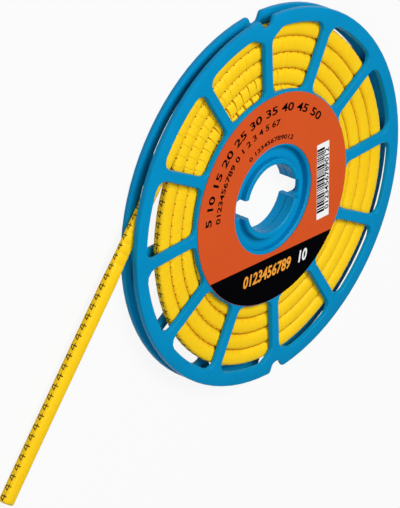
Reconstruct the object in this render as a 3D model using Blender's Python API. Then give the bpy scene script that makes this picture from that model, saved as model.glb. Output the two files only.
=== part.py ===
"""A strip of cable markers wound on a flat reel.

The reel is two moulded halves, each a flange with windows and half of the hub. A ring label lies on the
front flange. The strip is wound between the flanges, and its free end leaves between the two rims.
The reel lies on its rear flange: +Z is its axis, towards the label, and +Y runs through a notch in the rim.
"""

import math

import bmesh
import bpy
from mathutils import Vector

# Everything below is in millimetres, and make_object turns it into metres
MM = 0.001

# Marker strip
STRIP_A = 4.6  # across the turns
STRIP_B = 3.2  # along the reel's axis
STRIP_ROUND = 0.85
MARKER_PITCH = 3.0
TURN_CLEAR = 0.14
SIDE_CLEAR = 0.4
# How far out of round the turns lie: (waves to a turn, height, angle of a crest)
WAVES = ((1, 1.37, -38.3), (2, 1.48, -89.8), (3, 0.50, -16.0), (4, 0.21, -7.5))
STEPS_PER_TURN = 48
COIL_SIDES = 8
TAIL_SIDES = 12
CUT_GAP = 0.3

# Free end of the strip
TAIL_ANGLE = 138.8  # where the strip leaves the turns
TAIL_INSET = 3.2
TAIL_LENGTH = 108.8
PINCH_CLEAR = 0.25
PINCH_SPREAD = 0.35
PINCH_EASE = 8.0
BEND_FROM = 37.0  # from here on it droops to the floor and curls a little towards the reel
CURL = 1.9
FLOOR_CLEAR = 0.03
END_BEVEL = 0.8

# Flanges
R_OUT = 56.2
PLATE_T = 1.25
BEAD_T = 1.9
BEAD_W = 2.3
BEAD_SLOPE = 0.4
BEAD_ROUND = 0.45
RIM_W = 4.4
RIM_ROUND = 0.6
WINDOW_R_IN = 32.4
SPOKES = 12
SPOKE_W = 3.5
FILLET_OUT = 2.9
FILLET_IN = 2.1
EDGE_ROUND = 0.3
DRAFT = 0.12

# Notches in both rims, and the gussets that run from them to their spokes
NOTCH_ANGLES = (90.0, 270.0)
NOTCH_DEPTH = 2.8
NOTCH_TOP_W = 5.4
NOTCH_BOTTOM_W = 2.6
NOTCH_FADE = 6.5
NOTCH_PULL = 1.4  # how far the bead moves in behind a notch
GUSSET_W = 12.6
GUSSET_RUN = 2.9

# Hub
FRONT_TROUGH_R = 15.6
REAR_TROUGH_R = 17.6
TROUGH_D = 2.0
LIP_W = 0.4
TUBE_WALL = 1.7
TUBE_ROUND = 0.35
BORE_R = 10.3
DRUM_R = 19.0
DRUM_CLEAR = 0.3
HALF_CLEAR = 0.3
KEY_W = 5.8
FRONT_KEY_REACH = 13.5
REAR_KEY_REACH = 15.0
KEY_ROUND = 1.2
KEY_ANGLE = -4.7

# Label
LABEL_MARGIN = 0.2  # from the windows
LABEL_CLEAR = 0.5  # from the trough's lip
LABEL_LIFT = 0.1
LABEL_T = 0.15

# Worked out
WIDTH = STRIP_B + 2 * (SIDE_CLEAR + PLATE_T)
MIDDLE = WIDTH / 2
PITCH = STRIP_A + TURN_CLEAR
WINDOW_R_OUT = R_OUT - RIM_W
BEAD_R = R_OUT - BEAD_W - BEAD_SLOPE
TAIL_FACE_R = BEAD_R - TAIL_INSET
PINCH_B = WIDTH - 2 * (BEAD_T + PINCH_CLEAR)
PINCH_A = STRIP_A + PINCH_SPREAD
DROOP = MIDDLE - STRIP_B / 2 - FLOOR_CLEAR

for obj in list(bpy.data.objects):
    bpy.data.objects.remove(obj, do_unlink=True)


def material(name, color, roughness):
    """A plain plastic."""
    mat = bpy.data.materials.new(name)
    mat.use_nodes = True
    shader = mat.node_tree.nodes["Principled BSDF"]
    shader.inputs["Base Color"].default_value = (*color, 1.0)
    shader.inputs["Roughness"].default_value = roughness
    mat.diffuse_color = (*color, 1.0)
    return mat


BLUE = material("reel_blue", (0.003, 0.23, 0.46), 0.35)
ORANGE = material("label_orange", (0.65, 0.085, 0.02), 0.45)
YELLOW = material("strip_yellow", (0.87, 0.55, 0.017), 0.4)


def make_object(name, bm, mat):
    """Turns a bmesh in millimetres into an object whose faces point out."""
    bmesh.ops.scale(bm, vec=(MM, MM, MM), verts=bm.verts)
    bmesh.ops.recalc_face_normals(bm, faces=bm.faces)
    mesh = bpy.data.meshes.new(name)
    bm.to_mesh(mesh)
    bm.free()
    mesh.materials.append(mat)
    mesh.shade_smooth()
    mesh.set_sharp_from_angle(angle=math.radians(40))
    obj = bpy.data.objects.new(name, mesh)
    bpy.context.scene.collection.objects.link(obj)
    return obj


def polar(u, v, degrees):
    """The point u along a ray from the axis and v to the ray's left."""
    c, s = math.cos(math.radians(degrees)), math.sin(math.radians(degrees))
    return Vector((u * c - v * s, u * s + v * c))


def circle(radius, sides=40):
    return [polar(radius, 0, 360 * i / sides) for i in range(sides)]


def arc(centre, radius, start, end, steps):
    """Points on an arc, with both ends. The angles are in radians."""
    return [
        Vector(centre) + radius * Vector((math.cos(a), math.sin(a)))
        for a in (start + (end - start) * i / steps for i in range(steps + 1))
    ]


def rounded(before, corner, after, reach, steps=2):
    """A corner eased into a curve that starts and ends at a reach from it."""
    before, corner, after = Vector(before), Vector(corner), Vector(after)
    a = corner + (before - corner).normalized() * reach
    b = corner + (after - corner).normalized() * reach
    fractions = [i / steps for i in range(steps + 1)]
    return [a * (1 - t) ** 2 + corner * 2 * t * (1 - t) + b * t * t for t in fractions]


def offset(points, distance):
    """An anticlockwise outline moved inward by a distance, or outward by a negative one."""
    moved = []
    for i, p in enumerate(points):
        d0 = (p - points[i - 1]).normalized()
        d1 = (points[(i + 1) % len(points)] - p).normalized()
        n0, n1 = Vector((-d0.y, d0.x)), Vector((-d1.y, d1.x))
        mitre = (n0 + n1).normalized()
        moved.append(p + mitre * distance / max(0.5, mitre.dot(n0)))
    return moved


def add_loop(bm, points, heights):
    """A closed loop of edges at one height, or at one height for each point."""
    if not isinstance(heights, (list, tuple)):
        heights = [heights] * len(points)
    verts = [bm.verts.new((p.x, p.y, z)) for p, z in zip(points, heights)]
    for i, v in enumerate(verts):
        bm.edges.new((verts[i - 1], v))
    return verts


def loft(bm, loops):
    """Walls of quads through loops that have the same number of points."""
    for a, b in zip(loops, loops[1:]):
        for i in range(len(a)):
            bm.faces.new((a[i - 1], a[i], b[i], b[i - 1]))


def cap(bm, loops):
    """A flat face inside the first loop and outside the others."""
    edges = [bm.edges.get((lp[i - 1], lp[i])) for lp in loops for i in range(len(lp))]
    bmesh.ops.triangle_fill(bm, edges=edges, use_beauty=True, normal=(0, 0, 1))


def near_notch(point):
    """1 behind a notch, falling to 0 a little way along the rim on each side of it."""
    angle = math.degrees(math.atan2(point.y, point.x)) % 360
    along = min(abs(angle - a) for a in NOTCH_ANGLES) * math.pi / 180 * R_OUT
    return 1 - smooth(along / NOTCH_FADE)


def smooth(t):
    t = min(1.0, max(0.0, t))
    return t * t * (3 - 2 * t)


def on_rim(half_width):
    """A point of the rim at half a width from a notch's middle."""
    return (math.sqrt(R_OUT**2 - half_width**2), half_width)


def rim_outline():
    """The rim's outer edge with its notches, anticlockwise."""
    half = NOTCH_TOP_W / 2
    shoulder = half + 1.0
    top = on_rim(half)
    bottom = (R_OUT - NOTCH_DEPTH, NOTCH_BOTTOM_W / 2)
    side = [Vector(on_rim(shoulder))]
    side += rounded(on_rim(shoulder), top, bottom, 0.8, 3)
    side += rounded(top, bottom, (bottom[0], 0), 0.9)
    notch = [Vector((p.x, -p.y)) for p in side] + side[::-1]
    edge = math.degrees(math.asin(shoulder / R_OUT))
    span, steps = 180 - 2 * edge, 42
    points = []
    for angle in NOTCH_ANGLES:
        points += [polar(p.x, p.y, angle) for p in notch]
        points += [polar(R_OUT, 0, angle + edge + span * i / steps) for i in range(1, steps)]
    return points


def window_side(gusset):
    """A window's side along its spoke, which runs along +X, and the angles where the side ends."""
    h = SPOKE_W / 2
    v = h + FILLET_IN
    u = math.sqrt((WINDOW_R_IN + FILLET_IN) ** 2 - v * v)
    inner = math.atan2(v, u)
    points = arc((u, v), FILLET_IN, inner + math.pi, 1.5 * math.pi, 2)
    if gusset:
        top = Vector((math.sqrt(WINDOW_R_OUT**2 - GUSSET_W**2 / 4), GUSSET_W / 2))
        low = Vector((WINDOW_R_OUT - GUSSET_RUN, h))
        outer = math.atan2(top.y, top.x) + 0.04
        after = WINDOW_R_OUT * Vector((math.cos(outer), math.sin(outer)))
        points += rounded((u, h), low, top, 1.2) + rounded(low, top, after, 1.2)
    else:
        v = h + FILLET_OUT
        u = math.sqrt((WINDOW_R_OUT - FILLET_OUT) ** 2 - v * v)
        outer = math.atan2(v, u)
        points += arc((u, v), FILLET_OUT, -0.5 * math.pi, outer, 3)
    return points, inner, outer


def window_outline(index):
    """The window after a spoke, anticlockwise."""
    a, b = 360 * index / SPOKES, 360 * (index + 1) / SPOKES
    first, in_a, out_a = window_side(a in NOTCH_ANGLES)
    last, in_b, out_b = window_side(b in NOTCH_ANGLES)
    a_rad, b_rad = math.radians(a), math.radians(b)
    points = [polar(p.x, p.y, a) for p in first]
    points += arc((0, 0), WINDOW_R_OUT, a_rad + out_a, b_rad - out_b, 5)[1:-1]
    points += [polar(p.x, -p.y, b) for p in reversed(last)]
    points += arc((0, 0), WINDOW_R_IN, b_rad - in_b, a_rad + in_a, 3)[1:-1]
    return points


def add_rim(bm):
    """The rim's rounded outer side and the bead under it, from the face to the plate's back."""
    outline = rim_outline()
    bead = [PLATE_T + (BEAD_T - PLATE_T) * (1 - near_notch(p)) for p in outline]
    inward = [p.normalized() * (BEAD_R - NOTCH_PULL * near_notch(p)) for p in outline]
    crest = [p.normalized() * (p.length + BEAD_SLOPE) for p in inward]
    loops = [
        add_loop(bm, offset(outline, RIM_ROUND), 0.0),
        add_loop(bm, offset(outline, RIM_ROUND * 0.3), RIM_ROUND * 0.3),
        add_loop(bm, outline, RIM_ROUND),
        add_loop(bm, outline, [d - BEAD_ROUND for d in bead]),
        add_loop(bm, offset(outline, BEAD_ROUND * 0.3), [d - BEAD_ROUND * 0.3 for d in bead]),
        add_loop(bm, offset(outline, BEAD_ROUND), bead),
        add_loop(bm, crest, bead),
        add_loop(bm, inward, PLATE_T),
    ]
    loft(bm, loops)
    return loops[0], loops[-1]


def add_window(bm, index):
    """A window's wall, eased at the outer face and opening towards it."""
    points = window_outline(index)
    loops = [
        add_loop(bm, offset(points, -DRAFT - EDGE_ROUND), 0.0),
        add_loop(bm, offset(points, -DRAFT), EDGE_ROUND),
        add_loop(bm, points, PLATE_T),
    ]
    loft(bm, loops)
    return loops[0], loops[-1]


def add_hub(bm, trough_r):
    """The trough round the bore tube, and the drum, turned from one profile."""
    tube_r = BORE_R + TUBE_WALL
    split = MIDDLE - HALF_CLEAR / 2
    profile = [
        (trough_r + LIP_W, 0.0),
        (trough_r, LIP_W),
        (trough_r, TROUGH_D),
        (tube_r, TROUGH_D),
        (tube_r, TUBE_ROUND),
        (tube_r - TUBE_ROUND, 0.0),
        (BORE_R + TUBE_ROUND, 0.0),
        (BORE_R, TUBE_ROUND),
        (BORE_R, split),
        (DRUM_R, split),
        (DRUM_R, PLATE_T),
    ]
    loops = [add_loop(bm, circle(r), d) for r, d in profile]
    loft(bm, loops)
    return loops[0], loops[-1]


def keyway_cutter(name, reach):
    """A long block that cuts both keyways, out from the bore."""
    h = KEY_W / 2
    corners = [(reach, -h), (reach, h), (-reach, h), (-reach, -h)]
    points = []
    for i, corner in enumerate(corners):
        curve = rounded(corners[i - 1], corner, corners[(i + 1) % 4], KEY_ROUND)
        points += [polar(p.x, p.y, KEY_ANGLE) for p in curve]
    bm = bmesh.new()
    loops = [add_loop(bm, points, z) for z in (-WIDTH, 2 * WIDTH)]
    loft(bm, loops)
    for lp in loops:
        bm.faces.new(lp)
    obj = make_object(name, bm, BLUE)
    obj.hide_render = True
    obj.display_type = "WIRE"
    return obj


def reel_half(name, front, trough_r, key_reach):
    """A moulded half, drawn with depths from its outer face and then turned to its side."""
    bm = bmesh.new()
    windows = [add_window(bm, i) for i in range(SPOKES)]
    faces, backs = zip(add_rim(bm), *windows, add_hub(bm, trough_r))
    cap(bm, faces)
    cap(bm, backs)
    if front:
        for v in bm.verts:
            v.co.z = WIDTH - v.co.z
    obj = make_object(name, bm, BLUE)
    cut = obj.modifiers.new("Keyways", "BOOLEAN")
    cut.operation = "DIFFERENCE"
    cut.solver = "EXACT"
    cut.object = keyway_cutter(f"{name}_keyways", key_reach)


def label():
    """The printed ring on the front flange."""
    low = WIDTH + LABEL_LIFT
    top = low + LABEL_T
    outer = WINDOW_R_IN - DRAFT - EDGE_ROUND - LABEL_MARGIN
    inner = FRONT_TROUGH_R + LIP_W + LABEL_CLEAR
    bm = bmesh.new()
    corners = ((outer, low), (outer, top), (inner, top), (inner, low))
    loops = [add_loop(bm, circle(r, 60), z) for r, z in corners]
    loft(bm, loops + loops[:1])
    make_object("label", bm, ORANGE)


def wave(degrees):
    """How far outside a true spiral the turns lie at an angle."""
    return sum(h * math.cos(n * math.radians(degrees - crest)) for n, h, crest in WAVES)


def face_radius(run):
    """The radius of the strip's outer face, run degrees along the turns, which end at 0."""
    return TAIL_FACE_R + PITCH * run / 360 + wave(TAIL_ANGLE + run) - wave(TAIL_ANGLE)


def section(sides, a, b):
    """The strip's section, a rounded oblong: points (outward, up)."""
    r = min(STRIP_ROUND, b / 2 - 0.05)
    h, k = a / 2 - r, b / 2 - r
    points = []
    for x, y, quarter in ((h, k, 0), (-h, k, 1), (-h, -k, 2), (h, -k, 3)):
        start = quarter * math.pi / 2
        points += arc((x, y), r, start, start + math.pi / 2, sides // 4 - 1)
    return points


def sweep(name, sides, frames):
    """A solid through sections, each placed by its centre and its outward direction."""
    bm = bmesh.new()
    loops = []
    for centre, out, a, b in frames:
        points = section(sides, a, b)
        loops.append(add_loop(bm, [centre.xy + out * p.x for p in points], [centre.z + p.y for p in points]))
    loft(bm, loops)
    bm.faces.new(loops[0])
    bm.faces.new(loops[-1])
    make_object(name, bm, YELLOW)


def tail_frame(t):
    """The free end's section at a distance from the turns. The rims pinch it, and then it bends."""
    radius = TAIL_FACE_R - STRIP_A / 2
    pinch_from = math.sqrt(BEAD_R**2 - TAIL_FACE_R**2) - 1
    pinch_to = math.sqrt(R_OUT**2 - (TAIL_FACE_R - PINCH_A) ** 2) + 1
    outside = max(pinch_from - t, t - pinch_to, 0)
    pinch = 1 - smooth(outside / PINCH_EASE)
    s = max(0, t - BEND_FROM) / (TAIL_LENGTH - BEND_FROM)
    centre = polar(radius - CURL * s * s, t, TAIL_ANGLE).to_3d()
    centre.z = MIDDLE - DROOP * s * s * (3 - s) / 2
    a = STRIP_A + (PINCH_A - STRIP_A) * pinch
    b = STRIP_B + (PINCH_B - STRIP_B) * pinch
    return centre, polar(1, 0, TAIL_ANGLE), a, b


def turn_frame(run):
    angle = TAIL_ANGLE + run
    centre = polar(face_radius(run) - STRIP_A / 2, 0, angle).to_3d()
    centre.z = MIDDLE
    return centre, polar(1, 0, angle), STRIP_A, STRIP_B


def marker_strip():
    """The strip, cut once under the front rim, where the wound turns pass to the free end."""
    lowest = min(wave(a) for a in range(360)) - wave(TAIL_ANGLE)
    turns = (TAIL_FACE_R + lowest - STRIP_A - DRUM_R - DRUM_CLEAR) / PITCH
    steps = round(turns * STEPS_PER_TURN)
    frames = [turn_frame(360 * turns * (i / steps - 1)) for i in range(steps + 1)]
    cut = math.sqrt(WINDOW_R_OUT**2 - (TAIL_FACE_R - STRIP_A / 2) ** 2)
    runs = round(cut / 4)
    frames += [tail_frame(cut * i / runs) for i in range(1, runs + 1)]
    sweep("marker_coil", COIL_SIDES, frames)

    start, end = cut + CUT_GAP, TAIL_LENGTH - END_BEVEL
    steps = round((end - start) / MARKER_PITCH)
    frames = [tail_frame(start + (end - start) * i / steps) for i in range(steps + 1)]
    centre, out, a, b = tail_frame(TAIL_LENGTH)
    frames.append((centre, out, a - 2 * END_BEVEL, b - 2 * END_BEVEL))
    sweep("marker_tail", TAIL_SIDES, frames)


reel_half("reel_rear", False, REAR_TROUGH_R, REAR_KEY_REACH)
reel_half("reel_front", True, FRONT_TROUGH_R, FRONT_KEY_REACH)
label()
marker_strip()
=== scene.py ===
# %% [markdown]
# # A reel of cable markers
#
# The object is a strip of small yellow cable markers, each printed with the same figure. It is wound
# on a flat blue reel that is moulded in two halves, and its free end leaves between the two rims.
# The solids come from the CAD model. This lesson dresses them: it keeps their sizes, gives the
# mouldings smooth edges, cuts the strip into markers, prints the label, and lights it all.

import math
import random

import bmesh
import bpy
import numpy as np
from mathutils import Matrix, Quaternion, Vector


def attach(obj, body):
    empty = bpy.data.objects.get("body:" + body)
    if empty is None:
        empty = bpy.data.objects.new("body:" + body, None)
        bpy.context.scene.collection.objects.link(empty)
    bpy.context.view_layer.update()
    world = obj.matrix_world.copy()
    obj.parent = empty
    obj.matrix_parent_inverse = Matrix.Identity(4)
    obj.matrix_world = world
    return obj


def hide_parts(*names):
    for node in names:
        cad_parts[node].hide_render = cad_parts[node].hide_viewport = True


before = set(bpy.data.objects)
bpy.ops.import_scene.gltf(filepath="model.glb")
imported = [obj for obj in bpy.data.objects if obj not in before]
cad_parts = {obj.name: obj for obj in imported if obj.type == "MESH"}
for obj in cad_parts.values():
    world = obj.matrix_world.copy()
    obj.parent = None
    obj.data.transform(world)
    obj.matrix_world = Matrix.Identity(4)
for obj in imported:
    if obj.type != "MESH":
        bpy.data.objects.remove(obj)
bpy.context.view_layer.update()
MM = 0.001

# %% [markdown]
# ## The camera
#
# A product photographer stands well back with a long lens, so the reel's circles stay near to true
# ellipses. The camera looks at the reel's face from 37 degrees above it. It is also rolled, because
# in the photograph the reel stands on edge, while here it lies on its rear flange.

# %% Camera
CAMERA_PLACE = Vector((-678.53, 481.91, 613.27)) * MM
CAMERA_AIM = Vector((-30.87, -4.55, 6.50)) * MM
CAMERA_ROLL = math.radians(112.281)
CAMERA_LENS = 257.9

camera_data = bpy.data.cameras.new("camera")
camera_data.lens = CAMERA_LENS
camera = bpy.data.objects.new("camera", camera_data)
bpy.context.scene.collection.objects.link(camera)
camera.location = CAMERA_PLACE
aim = (CAMERA_AIM - CAMERA_PLACE).to_track_quat("-Z", "Y")
camera.rotation_mode = "QUATERNION"
camera.rotation_quaternion = aim @ Quaternion((0, 0, 1), CAMERA_ROLL)
bpy.context.scene.camera = camera
print("Camera distance in mm:", round((CAMERA_AIM - CAMERA_PLACE).length / MM))

# %% [markdown]
# ## The route of the strip
#
# Everything on the strip follows one line, so the line comes first. Seen from the free end, it runs
# straight to the reel, passes between the rims, which pinch it, and then winds inward turn by turn.
# The turns aren't quite round, so a few slow waves are added to the spiral. The values are the CAD
# model's. The line is kept as a table of points, and a place on the strip is its distance from the
# free end.

# %% The strip's line
STRIP_A, STRIP_B = 4.6, 3.2  # across the turns, and along the reel's axis
MIDDLE = 3.25  # the height of the strip's middle on the reel
TURN_PITCH = 4.74
# Where the strip leaves the turns, how far out its outer face is there, and its length from there
TAIL_ANGLE, TAIL_FACE_R, TAIL_LENGTH = 138.8, 50.3, 108.8
# From BEND_FROM on, the free end droops to the floor and curls a little towards the reel
BEND_FROM, DROOP, CURL = 37.0, 1.62, 1.9
# Between these distances the two rims pinch it, and PINCH_A and PINCH_B are its section there
PINCH_FROM, PINCH_TO, PINCH_EASE = 17.2, 34.2, 8.0
PINCH_A, PINCH_B = 4.95, 2.2
DRUM_R, DRUM_CLEAR = 19.0, 0.3
# How far out of round the turns lie: (waves to a turn, height, angle of a crest)
WAVES = ((1, 1.37, -38.3), (2, 1.48, -89.8), (3, 0.50, -16.0), (4, 0.21, -7.5))
STRAIGHT_STEP, STEPS_A_TURN = 0.5, 720


def smooth(t):
    t = np.clip(t, 0.0, 1.0)
    return t * t * (3 - 2 * t)


def wave(degrees):
    """How far outside a true spiral the turns lie at an angle."""
    return sum(h * np.cos(n * np.radians(degrees - crest)) for n, h, crest in WAVES)


def straight_line():
    """The free end, from its tip to the turns."""
    t = np.arange(TAIL_LENGTH, 0, -STRAIGHT_STEP)
    c, sn = np.cos(np.radians(TAIL_ANGLE)), np.sin(np.radians(TAIL_ANGLE))
    s = np.clip(t - BEND_FROM, 0, None) / (TAIL_LENGTH - BEND_FROM)
    radius = TAIL_FACE_R - STRIP_A / 2 - CURL * s * s
    lean = 2 * CURL * s / (TAIL_LENGTH - BEND_FROM)
    x = radius * c - t * sn
    y = radius * sn + t * c
    z = MIDDLE - DROOP * s * s * (3 - s) / 2
    outside = np.maximum(np.maximum(PINCH_FROM - t, t - PINCH_TO), 0)
    pinch = 1 - smooth(outside / PINCH_EASE)
    wide = 1 + (PINCH_A / STRIP_A - 1) * pinch
    flat = 1 + (PINCH_B / STRIP_B - 1) * pinch
    return np.stack([x, y, z, c - lean * sn, sn + lean * c, wide, flat], axis=1)


def wound_line():
    """The turns, from the outermost to the drum."""
    lowest = wave(np.arange(360)).min() - wave(TAIL_ANGLE)
    turns = (TAIL_FACE_R + lowest - STRIP_A - DRUM_R - DRUM_CLEAR) / TURN_PITCH
    run = np.linspace(0, -360 * turns, round(turns * STEPS_A_TURN))
    angle = TAIL_ANGLE + run
    face = TAIL_FACE_R + TURN_PITCH * run / 360 + wave(angle) - wave(TAIL_ANGLE)
    radius = face - STRIP_A / 2
    c, s = np.cos(np.radians(angle)), np.sin(np.radians(angle))
    same = np.ones_like(run)
    return np.stack([radius * c, radius * s, MIDDLE * same, c, s, same, same], axis=1)


LINE = np.concatenate([straight_line(), wound_line()])
STEPS = np.linalg.norm(np.diff(LINE[:, :3], axis=0), axis=1)
ALONG = np.concatenate([[0.0], np.cumsum(STEPS)])
print(f"Strip length: {ALONG[-1]:.0f} mm")


def line_at(distance):
    """Rows of the line's table at distances from the free end."""
    return np.stack([np.interp(distance, ALONG, column) for column in LINE.T], axis=-1)


# %% [markdown]
# ## Helpers for modelling
#
# Blender's operators act on all that is selected, and the loaded CAD parts are selected. These few
# helpers start each piece from an empty selection, pick edges by where they are, and hand a finished
# piece to the reel's body.

# %% Helpers
SMOOTH_BELOW = math.radians(40)


def deselect():
    bpy.ops.object.select_all(action="DESELECT")


def activate(obj):
    deselect()
    obj.select_set(True)
    bpy.context.view_layer.objects.active = obj


def new_piece(name):
    """Names the object that an operator has just added."""
    obj = bpy.context.object
    obj.name = obj.data.name = name
    return obj


def pick(obj, test):
    """In edit mode, selects only the edges that pass a test."""
    bpy.ops.mesh.select_mode(type="EDGE")
    bpy.ops.mesh.select_all(action="DESELECT")
    bm = bmesh.from_edit_mesh(obj.data)
    for edge in bm.edges:
        if test(edge):
            edge.select_set(True)
    bmesh.update_edit_mesh(obj.data)


def set_material(obj, mat):
    obj.data.materials.clear()
    obj.data.materials.append(mat)


def put(obj, z, turn=0.0, x=0.0, y=0.0):
    """Moves a piece, drawn in millimetres at the origin, to its place on the reel."""
    obj.data.transform(Matrix.Rotation(turn, 4, "Z"))
    obj.data.transform(Matrix.Translation((x, y, z)))
    obj.data.transform(Matrix.Scale(MM, 4))
    obj.matrix_world = Matrix.Identity(4)


def finish_piece(obj, mat, slot, *nodes):
    """Gives a piece its material and its body, and hides the nodes that it stands for. slot is not
    used.
    """
    set_material(obj, mat)
    activate(obj)
    bpy.ops.object.shade_smooth_by_angle(angle=SMOOTH_BELOW)
    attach(obj, "root")
    if nodes:
        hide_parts(*nodes)
    print(f"{obj.name}: {len(obj.data.polygons)} faces")


# %% [markdown]
# ## Materials
#
# All of these are plastics, so one function makes the base of each: a Principled shader whose colour
# drifts a little, whose gloss is slightly patchy, and whose skin has a fine moulded texture. The
# patterns read Object coordinates in metres, so a scale of 1000 is one spot to the millimetre.

# %% Plastics
def plastic(name, colour, drift, roughness, shine=0.2, patchy=0.08, grain=2500.0, relief=0.04):
    """A moulded or printed plastic. drift is how far the colour strays, as a share of itself."""
    mat = bpy.data.materials.new(name)
    mat.use_nodes = True
    nodes, links = mat.node_tree.nodes, mat.node_tree.links
    shader = nodes["Principled BSDF"]
    shader.inputs["Specular IOR Level"].default_value = shine
    place = nodes.new("ShaderNodeTexCoord")

    broad = nodes.new("ShaderNodeTexNoise")
    broad.inputs["Scale"].default_value = 90.0
    broad.inputs["Detail"].default_value = 3.0
    links.new(place.outputs["Object"], broad.inputs["Vector"])
    tint = nodes.new("ShaderNodeMix")
    tint.data_type = "RGBA"
    tint.inputs["A"].default_value = (*[c * (1 - drift) for c in colour], 1)
    tint.inputs["B"].default_value = (*[min(1, c * (1 + drift)) for c in colour], 1)
    links.new(broad.outputs["Fac"], tint.inputs["Factor"])
    links.new(tint.outputs["Result"], shader.inputs["Base Color"])

    gloss = nodes.new("ShaderNodeMapRange")
    gloss.inputs["To Min"].default_value = roughness - patchy
    gloss.inputs["To Max"].default_value = roughness + patchy
    links.new(broad.outputs["Fac"], gloss.inputs["Value"])
    links.new(gloss.outputs["Result"], shader.inputs["Roughness"])

    fine = nodes.new("ShaderNodeTexNoise")
    fine.inputs["Scale"].default_value = grain
    fine.inputs["Detail"].default_value = 2.0
    links.new(place.outputs["Object"], fine.inputs["Vector"])
    bump = nodes.new("ShaderNodeBump")
    bump.inputs["Strength"].default_value = relief
    bump.inputs["Distance"].default_value = 0.05 * MM
    links.new(fine.outputs["Fac"], bump.inputs["Height"])
    links.new(bump.outputs["Normal"], shader.inputs["Normal"])
    return mat


REEL_BLUE = plastic("reel_blue", (0.0012, 0.255, 0.52), 0.10, 0.32, shine=0.07)
STRIP_YELLOW = plastic("strip_yellow", (0.955, 0.605, 0.010), 0.05, 0.42, shine=0.12, grain=1800)
LABEL_ORANGE = plastic("label_orange", (0.665, 0.088, 0.016), 0.04, 0.45, shine=0.12, grain=1200)
PRINT_BLACK = plastic("print_black", (0.001, 0.001, 0.002), 0.2, 0.40, shine=0.02)
PRINT_WHITE = plastic("print_white", (0.90, 0.90, 0.90), 0.02, 0.45, shine=0.1)
PRINT_AMBER = plastic("print_amber", (0.90, 0.36, 0.04), 0.05, 0.45, shine=0.1)
MARKER_INK = plastic("marker_ink", (0.055, 0.033, 0.004), 0.4, 0.5, shine=0.08)
# Painted shade: the brown of the block inside the strip, which darkens the slits and the valleys
# between the turns
SLIT_SHADE = plastic("slit_painted_shade", (0.50, 0.23, 0.008), 0.2, 0.6, shine=0.03)

# %% [markdown]
# ## One marker
#
# A marker is a short length of soft tube with a rounded oblong section. It is modelled once, from a
# cube: its four long edges are rounded, and its two ends get a small bevel, which becomes the fine
# line between neighbours once the strip is assembled. The strip's own tip is a marker with one end
# well rounded. The X axis points along the strip, Y outward from the reel's axis, and Z upward.

# %% Model one marker
MARKER_PITCH = 3.0
STRIP_ROUND = 1.05
CROWN = 0.16  # how much of its height the top loses towards its edges
SLIT_BEVEL, TIP_BEVEL = 0.03, 0.75


def crowned(y, z):
    """The height of a point on the section, lowered a little towards the section's two edges."""
    return z * (1 - CROWN * (2 * y / STRIP_A) ** 2)


def model_marker(name, first_bevel=SLIT_BEVEL, first_steps=1):
    """One marker. Its end at the low side of X can have a bevel of its own."""
    near_end = MARKER_PITCH / 2 - 0.1
    deselect()
    bpy.ops.mesh.primitive_cube_add(size=1.0)
    obj = new_piece(name)
    obj.scale = (MARKER_PITCH, STRIP_A, STRIP_B)
    bpy.ops.object.transform_apply(scale=True)
    bpy.ops.object.mode_set(mode="EDIT")
    pick(obj, lambda e: abs(e.verts[0].co.x - e.verts[1].co.x) > 1)
    bpy.ops.mesh.bevel(offset=STRIP_ROUND, segments=3, affect="EDGES")
    bpy.ops.mesh.select_all(action="SELECT")
    bpy.ops.mesh.bisect(plane_co=(0, 0, 0), plane_no=(0, 1, 0))
    pick(obj, lambda e: max(v.co.x for v in e.verts) < -near_end)
    bpy.ops.mesh.bevel(offset=first_bevel, segments=first_steps, affect="EDGES")
    pick(obj, lambda e: min(v.co.x for v in e.verts) > near_end)
    bpy.ops.mesh.bevel(offset=SLIT_BEVEL, segments=1, affect="EDGES")
    bpy.ops.object.mode_set(mode="OBJECT")
    for v in obj.data.vertices:
        v.co.z = crowned(v.co.y, v.co.z)
    print(f"{name}: {len(obj.data.polygons)} faces")
    return obj


marker = model_marker("marker_pattern")
tip_marker = model_marker("tip_pattern", TIP_BEVEL, 3)

# A longer and thinner block, which fills the strip's middle and reaches inward to the next turn, so
# that no light comes through the slits or between the turns
# Its brown is painted shade, for the dark valleys between the turns and the dark slits
CORE_SIZE = (MARKER_PITCH + 0.9, STRIP_A - 0.46, STRIP_B - 1.6)
CORE_INWARD = 0.37
deselect()
bpy.ops.mesh.primitive_cube_add(size=1.0)
core = new_piece("core_pattern")
core.scale = CORE_SIZE
bpy.ops.object.transform_apply(scale=True)
core.data.transform(Matrix.Translation((0, -CORE_INWARD, 0)))

# %% [markdown]
# ## The figure on each marker
#
# Each marker carries one dark figure on the side that faces away from the reel's axis: a plain four
# with a wide eye, drawn with straight strokes. A few cuts across it let it bend round the strip's
# corners. Its top points to the rear flange.

# %% Model one figure
FIGURE_UP = 0.15  # how far it sits from the strip's middle, towards the front flange
STROKE_W = 0.27
INK_ON_MARKER, INK_GAP = 0.03, 0.012
# The ends of the four's strokes, with X along the strip and Y to the figure's top
STROKES = (
    ((-0.85, -0.3), (-0.2, 0.9)),
    ((-0.2, 0.9), (0.4, 0.9)),
    ((0.4, 0.9), (0.4, -1.0)),
    ((-0.85, -0.3), (0.9, -0.3)),
)
BENDS = (-0.75, -0.4, 0.35, 0.7)


def wrap(obj):
    """Bends a figure round the strip's two outer corners. It is drawn in XY and ends up facing +Y."""
    h = STRIP_B / 2 - STRIP_ROUND
    for v in obj.data.vertices:
        x, up, lift = v.co
        z = -up + FIGURE_UP
        over = max(0.0, abs(z) - h) / STRIP_ROUND
        reach = STRIP_ROUND + lift + INK_GAP
        y = STRIP_A / 2 - STRIP_ROUND + reach * math.cos(over)
        if over:
            z = math.copysign(h + reach * math.sin(over), z)
        v.co = (x, y, crowned(y, z))


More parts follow.
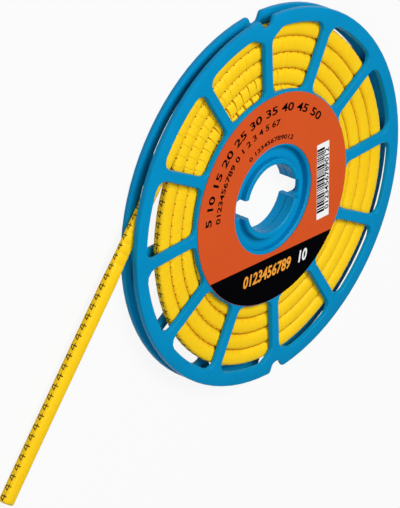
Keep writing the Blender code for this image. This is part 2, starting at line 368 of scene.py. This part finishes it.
strokes = []
for i, (start, end) in enumerate(STROKES):
    start, end = Vector(start), Vector(end)
    run = end - start
    deselect()
    bpy.ops.mesh.primitive_cube_add(size=1.0)
    stroke = new_piece("stroke")
    # Each stroke is a hair thicker than the one before, so that no two tops coincide
    stroke.scale = (run.length + STROKE_W, STROKE_W, INK_ON_MARKER * (1 + 0.1 * i))
    bpy.ops.object.transform_apply(scale=True)
    stroke.data.transform(Matrix.Rotation(math.atan2(run.y, run.x), 4, "Z"))
    stroke.data.transform(Matrix.Translation((*(start + end) / 2, 0)))
    strokes.append(stroke)
deselect()
for stroke in strokes:
    stroke.select_set(True)
bpy.context.view_layer.objects.active = strokes[0]
bpy.ops.object.join()
figure = new_piece("figure_pattern")
for level in BENDS:
    bpy.ops.object.mode_set(mode="EDIT")
    bpy.ops.mesh.select_all(action="SELECT")
    bpy.ops.mesh.bisect(plane_co=(0, level, 0), plane_no=(0, 1, 0))
    bpy.ops.object.mode_set(mode="OBJECT")
wrap(figure)
print("One figure:", len(figure.data.polygons), "faces")

# %% [markdown]
# ## Laying markers along the line
#
# The pattern is copied once for each marker, and each copy is bent to follow the line. Real markers
# are slit from each other, so on a tight bend the slits open a little on the outer side. The copy
# does the same: the further a point lies on the outer side of the bend, the less it is stretched.
# A few hundredths of a millimetre of chance keep the row from looking machined.

# %% The winding function
# Slits open most on the inner turns round one angle, and a little on all turns of a wider stretch
WIDE_OPEN, WIDE_ANGLE, WIDE_SPREAD, WIDE_MIDDLE = 1.8, 104, 25, 1.4
WIDE_RADIUS, WIDE_FADE = 44, 10
SLIGHTLY_OPEN, SLIGHT_ANGLE, SLIGHT_SPREAD = 0.22, 128, 60
# The spread of chance in a marker's place and turn: outward, along the reel's axis, and turned
CHANCE_WOUND, CHANCE_FREE = (0.008, 0.02, 0.003), (0.003, 0.005, 0.001)


def openness(angle, radius):
    """How far a slit opens, where 1 is what a stiff marker would do."""
    near = smooth(WIDE_MIDDLE - abs(angle - WIDE_ANGLE) / WIDE_SPREAD)
    side = smooth(1 - abs(angle - SLIGHT_ANGLE) / SLIGHT_SPREAD)
    inner = np.clip((WIDE_RADIUS - radius) / WIDE_FADE, 0, 1) ** 2
    return WIDE_OPEN * near * inner + SLIGHTLY_OPEN * side


def lay(name, pattern, first, count, seed, tip=None):
    """One mesh of copies of a pattern along the line, from marker number first."""
    chance = np.random.default_rng(seed)
    points, polygons = [], []
    for i in range(first, first + count):
        source = (tip if tip and i == 0 else pattern).data
        corners = np.array([v.co for v in source.vertices])
        faces = [list(p.vertices) for p in source.polygons]
        middle = MARKER_PITCH * (i + 0.5)
        here = line_at(middle)
        wound = middle > TAIL_LENGTH
        radius = math.hypot(here[0], here[1])
        x, y, z = corners.T
        y_off, z_off, turn = chance.normal(0, 1, 3) * (CHANCE_WOUND if wound else CHANCE_FREE)
        if wound:
            opened = openness(math.degrees(math.atan2(here[1], here[0])), radius)
            rigid = (1 - STRIP_A / 2 / radius) / (1 + y / radius)
            x = x * (1 - opened * (1 - rigid))
        row = line_at(middle + x)
        depth = (y + y_off + turn * x) * row[:, 5]
        height = (z + z_off) * row[:, 6]
        base = len(points)
        xyz = row[:, :3].copy()
        xyz[:, 0] += row[:, 3] * depth
        xyz[:, 1] += row[:, 4] * depth
        xyz[:, 2] += height
        points.extend((xyz * MM).tolist())
        polygons.extend([[base + v for v in face] for face in faces])
    mesh = bpy.data.meshes.new(name)
    mesh.from_pydata(points, [], polygons)
    obj = bpy.data.objects.new(name, mesh)
    bpy.context.scene.collection.objects.link(obj)
    return obj


# %% [markdown]
# ## The free end and the wound strip
#
# The first 29 markers are the free end, a soft piece.
# All the others run on between the rims and wind onto the drum. A strip and its figures share a seed,
# so that they get the same chance and move together.

# %% Lay the strip
TAIL_COUNT = 29
COIL_COUNT = int((ALONG[-1] - MARKER_PITCH * TAIL_COUNT) / MARKER_PITCH)
FREE_SEED, WOUND_SEED = 11, 12

free_end = lay("free_end", marker, 0, TAIL_COUNT, FREE_SEED, tip=tip_marker)
finish_piece(free_end, STRIP_YELLOW, "strip_yellow", "marker_tail")
free_figures = lay("free_end_figures", figure, 0, TAIL_COUNT, FREE_SEED)
finish_piece(free_figures, MARKER_INK, "strip_yellow")

wound = lay("wound_strip", marker, TAIL_COUNT, COIL_COUNT, WOUND_SEED)
finish_piece(wound, STRIP_YELLOW, "strip_yellow", "marker_coil")
# The core's brown is painted shade in the slits and between the turns
wound_core = lay("wound_core", core, TAIL_COUNT + 1, COIL_COUNT - 2, WOUND_SEED)
finish_piece(wound_core, SLIT_SHADE, "strip_yellow")
wound_figures = lay("wound_figures", figure, TAIL_COUNT, COIL_COUNT, WOUND_SEED)
finish_piece(wound_figures, MARKER_INK, "strip_yellow")
for pattern in (marker, tip_marker, core, figure):
    bpy.data.objects.remove(pattern)
print(f"{TAIL_COUNT} markers in the free end, {COIL_COUNT} in the turns")

# %% [markdown]
# ## The two mouldings
#
# The CAD halves have the right shape, but their meshes are loose triangles. A copy of each is merged
# into one skin, so light runs smoothly round its curves, and takes the copied node's place.

# %% Reel halves
def smooth_copy(node):
    """A copy of a CAD node as one merged skin."""
    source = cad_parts[node]
    obj = bpy.data.objects.new(f"{node}_moulding", source.data.copy())
    bpy.context.scene.collection.objects.link(obj)
    activate(obj)
    if obj.data.has_custom_normals:
        bpy.ops.mesh.customdata_custom_splitnormals_clear()
    bpy.ops.object.mode_set(mode="EDIT")
    bpy.ops.mesh.select_all(action="SELECT")
    bpy.ops.mesh.remove_doubles(threshold=0.002 * MM)
    bpy.ops.mesh.tris_convert_to_quads(face_threshold=0.02, shape_threshold=3.0)
    bpy.ops.object.mode_set(mode="OBJECT")
    return obj


for node in ("reel_rear", "reel_front"):
    half = smooth_copy(node)
    finish_piece(half, REEL_BLUE, "reel_blue", node)

# %% [markdown]
# The halves are snapped together, and the CAD model leaves them a fine clearance. In the bore it
# would show as a dark line, so two thin arcs fill it, one on each side of the keyways.

# %% Seam in the bore
SEAM_R, SEAM_T, SEAM_FLAT = 11.1, 0.7, 0.34
KEYWAY_HALF, KEYWAY_ANGLE = 3.1, -4.7
for side, name in enumerate(("seam_arc_left", "seam_arc_right")):
    deselect()
    bpy.ops.mesh.primitive_torus_add(
        major_radius=SEAM_R, minor_radius=SEAM_T, major_segments=96, minor_segments=12
    )
    seam = new_piece(name)
    seam.scale.z = SEAM_FLAT
    bpy.ops.object.transform_apply(scale=True)
    bpy.ops.object.mode_set(mode="EDIT")
    bpy.ops.mesh.select_all(action="SELECT")
    bpy.ops.mesh.bisect(
        plane_co=(0, KEYWAY_HALF, 0), plane_no=(0, 1, 0), clear_inner=True, use_fill=True
    )
    bpy.ops.object.mode_set(mode="OBJECT")
    put(seam, MIDDLE, math.radians(KEYWAY_ANGLE + 180 * side))
    finish_piece(seam, REEL_BLUE, "reel_blue")

# %% [markdown]
# ## The label
#
# The label is a ring of printed film on the flat front face. Its print is laid on it as thin skins of
# ink: a black field below a straight line, a white patch with a row of bars, and rows of plain figures.

# %% Label film and black field
LABEL_TOP = 6.75
LABEL_R = 31.78
FIELD_INSIDE = 0.08  # from the label's edge
INK_T = 0.02

label = smooth_copy("label")
finish_piece(label, LABEL_ORANGE, "label_orange", "label")

CHORD, CHORD_TILT = 17.9, math.radians(-4.2)  # how far the line is from the axis, and its slope
deselect()
bpy.ops.mesh.primitive_cylinder_add(vertices=180, radius=LABEL_R - FIELD_INSIDE, depth=INK_T)
black_field = new_piece("label_black_field")
bpy.ops.object.mode_set(mode="EDIT")
bpy.ops.mesh.select_all(action="SELECT")
normal = (math.sin(CHORD_TILT), -math.cos(CHORD_TILT), 0)
bpy.ops.mesh.bisect(
    plane_co=(CHORD * normal[0], CHORD * normal[1], 0), plane_no=normal, clear_inner=True, use_fill=True
)
bpy.ops.object.mode_set(mode="OBJECT")
put(black_field, LABEL_TOP + INK_T)
finish_piece(black_field, PRINT_BLACK, "label_orange")

# %% White patch with bars
PATCH_X, PATCH_Y, PATCH_W, PATCH_L, PATCH_TURN = 21.45, -2.6, 5.35, 23.8, math.radians(-2)
BAR_LENGTH, BAR_X = 3.3, -0.95
BAR_WIDTHS, BAR_GAPS = (0.25, 0.25, 0.45, 0.6, 0.75), (0.2, 0.25, 0.4)
MARGIN_BEFORE, MARGIN_AFTER = 2.0, 1.6


def plate(name, width, length, thickness):
    deselect()
    bpy.ops.mesh.primitive_cube_add(size=1.0)
    obj = new_piece(name)
    obj.scale = (width, length, thickness)
    bpy.ops.object.transform_apply(scale=True)
    return obj


patch = plate("label_white_patch", PATCH_W, PATCH_L, INK_T)
put(patch, LABEL_TOP + INK_T, PATCH_TURN, PATCH_X, PATCH_Y)
finish_piece(patch, PRINT_WHITE, "label_orange")

bars = []
rng = random.Random(5)
y = -PATCH_L / 2 + MARGIN_BEFORE
while y < PATCH_L / 2 - MARGIN_AFTER:
    thick = rng.choice(BAR_WIDTHS)
    bar = plate("bar", BAR_LENGTH, thick, INK_T)
    bar.data.transform(Matrix.Translation((BAR_X, y + thick / 2, 0)))
    bars.append(bar)
    y += thick + rng.choice(BAR_GAPS)
deselect()
for bar in bars:
    bar.select_set(True)
bpy.context.view_layer.objects.active = bars[0]
bpy.ops.object.join()
label_bars = new_piece("label_bars")
put(label_bars, LABEL_TOP + 2 * INK_T, PATCH_TURN, PATCH_X, PATCH_Y)
finish_piece(label_bars, PRINT_BLACK, "label_orange")

# %% [markdown]
# The rows come from text objects, each turned into a mesh. Extruding them very slightly makes them
# thin closed skins of ink. On the orange ring they are bent to arcs round the axis.

# %% Rows of plain figures
FIGURE_SHARE = 0.69  # how much of the font's size a figure's height is
PATCH_ROW_W, PATCH_ROW_X = 19.5, 1.75


def figure_mesh(name, text, height, thickness, bold=0.03, slant=0.0):
    """A line of figures in the XY plane, centred, as a closed mesh object in millimetres."""
    deselect()
    bpy.ops.object.text_add()
    obj = new_piece(name)
    data = obj.data
    data.body = text
    data.align_x, data.align_y = "CENTER", "CENTER"
    data.size = height / FIGURE_SHARE
    data.offset = bold * height
    data.shear = slant
    data.resolution_u = 3
    data.extrude = thickness / 2
    bpy.ops.object.convert(target="MESH")
    return bpy.context.object


def curved_row(name, text, radius, height, start, end, mat):
    """A row of figures that runs clockwise on an arc, with its tops outward. Angles are in degrees."""
    obj = figure_mesh(name, text, height, INK_T)
    width = obj.dimensions.x
    for v in obj.data.vertices:
        along = v.co.x / width + 0.5
        angle = math.radians(start - along * (start - end))
        r = radius + v.co.y
        v.co.x, v.co.y = r * math.cos(angle), r * math.sin(angle)
    put(obj, LABEL_TOP + INK_T)
    finish_piece(obj, mat, "label_orange")


curved_row("label_row_large", "5 10 15 20 25 30 35 40 45 50", 27.3, 2.35, 175.5, 41, PRINT_BLACK)
curved_row("label_row_medium", "0123456789 0 1 2 3 4 5 67", 23.3, 1.75, 176, 81, PRINT_BLACK)
curved_row("label_row_small", "0 123456789012", 18.5, 1.3, 121, 61, PRINT_BLACK)

patch_figures = figure_mesh("label_patch_figures", "0123456789012", 1.6, INK_T)
patch_figures.data.transform(Matrix.Diagonal((PATCH_ROW_W / patch_figures.dimensions.x, 1, 1, 1)))
patch_figures.data.transform(Matrix.Rotation(math.radians(90), 4, "Z"))
patch_figures.data.transform(Matrix.Translation((PATCH_ROW_X, 0, 0)))
put(patch_figures, LABEL_TOP + 2 * INK_T, PATCH_TURN, PATCH_X, PATCH_Y)
finish_piece(patch_figures, PRINT_BLACK, "label_orange")


def field_row(name, text, height, width, x, y, mat):
    """A straight row of slanted figures on the black field, stretched to a width."""
    obj = figure_mesh(name, text, height, INK_T, bold=0.04, slant=0.2)
    obj.data.transform(Matrix.Diagonal((width / obj.dimensions.x, 1, 1, 1)))
    put(obj, LABEL_TOP + 2 * INK_T, CHORD_TILT, x, y)
    finish_piece(obj, mat, "label_orange")


field_row("label_field_figures", "0123456789", 3.4, 20.6, -3.7, -22.4, PRINT_AMBER)
field_row("label_field_mark", "10", 3.4, 3.8, 11.5, -23.2, PRINT_WHITE)

# %% [markdown]
# ## Floor, world and lamps
#
# The photograph is a cut-out on white. A pale floor under even light comes close. To the camera and to
# reflections the floor is mostly a plain white glow, so it stays white where the reel shades it, and
# only a trace of the reel's soft shadow remains.

# %% Floor and world
FLOOR_SIZE, FLOOR_DROP = 6.0, 0.05 * MM
FLOOR_GREY, FLOOR_GLOW, WORLD_LIGHT = 0.62, 0.9, 0.11


def white_for_camera(nodes, links):
    """A value of 1 for what the camera, a reflection or a clear part sees."""
    path = nodes.new("ShaderNodeLightPath")
    either = nodes.new("ShaderNodeMath")
    either.operation = "MAXIMUM"
    links.new(path.outputs["Is Camera Ray"], either.inputs[0])
    links.new(path.outputs["Is Glossy Ray"], either.inputs[1])
    third = nodes.new("ShaderNodeMath")
    third.operation = "MAXIMUM"
    links.new(either.outputs[0], third.inputs[0])
    links.new(path.outputs["Is Transmission Ray"], third.inputs[1])
    return third.outputs[0]


deselect()
bpy.ops.mesh.primitive_plane_add(size=FLOOR_SIZE, location=(0, 0, -FLOOR_DROP))
floor = new_piece("floor")
floor_mat = bpy.data.materials.new("floor_white")
floor_mat.use_nodes = True
nodes, links = floor_mat.node_tree.nodes, floor_mat.node_tree.links
shader = nodes["Principled BSDF"]
shader.inputs["Base Color"].default_value = (FLOOR_GREY, FLOOR_GREY, FLOOR_GREY, 1)
shader.inputs["Roughness"].default_value = 0.9
glow = nodes.new("ShaderNodeEmission")
mix = nodes.new("ShaderNodeMixShader")
part_glow = nodes.new("ShaderNodeMath")
part_glow.operation = "MULTIPLY"
part_glow.inputs[1].default_value = FLOOR_GLOW
links.new(white_for_camera(nodes, links), part_glow.inputs[0])
links.new(part_glow.outputs[0], mix.inputs["Fac"])
links.new(shader.outputs[0], mix.inputs[1])
links.new(glow.outputs[0], mix.inputs[2])
links.new(mix.outputs[0], nodes["Material Output"].inputs["Surface"])
set_material(floor, floor_mat)

world = bpy.data.worlds.new("studio")
world.use_nodes = True
bpy.context.scene.world = world
world.node_tree.nodes["Background"].inputs["Color"].default_value = (1, 1, 1, 1)
world.node_tree.nodes["Background"].inputs["Strength"].default_value = WORLD_LIGHT


# %% Lamps
def lamp(name, azimuth, elevation, distance, size, power):
    """A square soft lamp that aims at the reel."""
    a, e = math.radians(azimuth), math.radians(elevation)
    place = distance * Vector((math.cos(e) * math.cos(a), math.cos(e) * math.sin(a), math.sin(e)))
    data = bpy.data.lights.new(name, "AREA")
    data.size = size
    data.energy = power
    obj = bpy.data.objects.new(name, data)
    obj.location = place
    obj.rotation_euler = (-place).to_track_quat("-Z", "Y").to_euler()
    bpy.context.scene.collection.objects.link(obj)


lamp("key", azimuth=76, elevation=55, distance=1.7, size=0.9, power=24.5)
lamp("fill", azimuth=168, elevation=46, distance=1.4, size=1.0, power=7.5)
bpy.context.scene.view_settings.view_transform = "Standard"
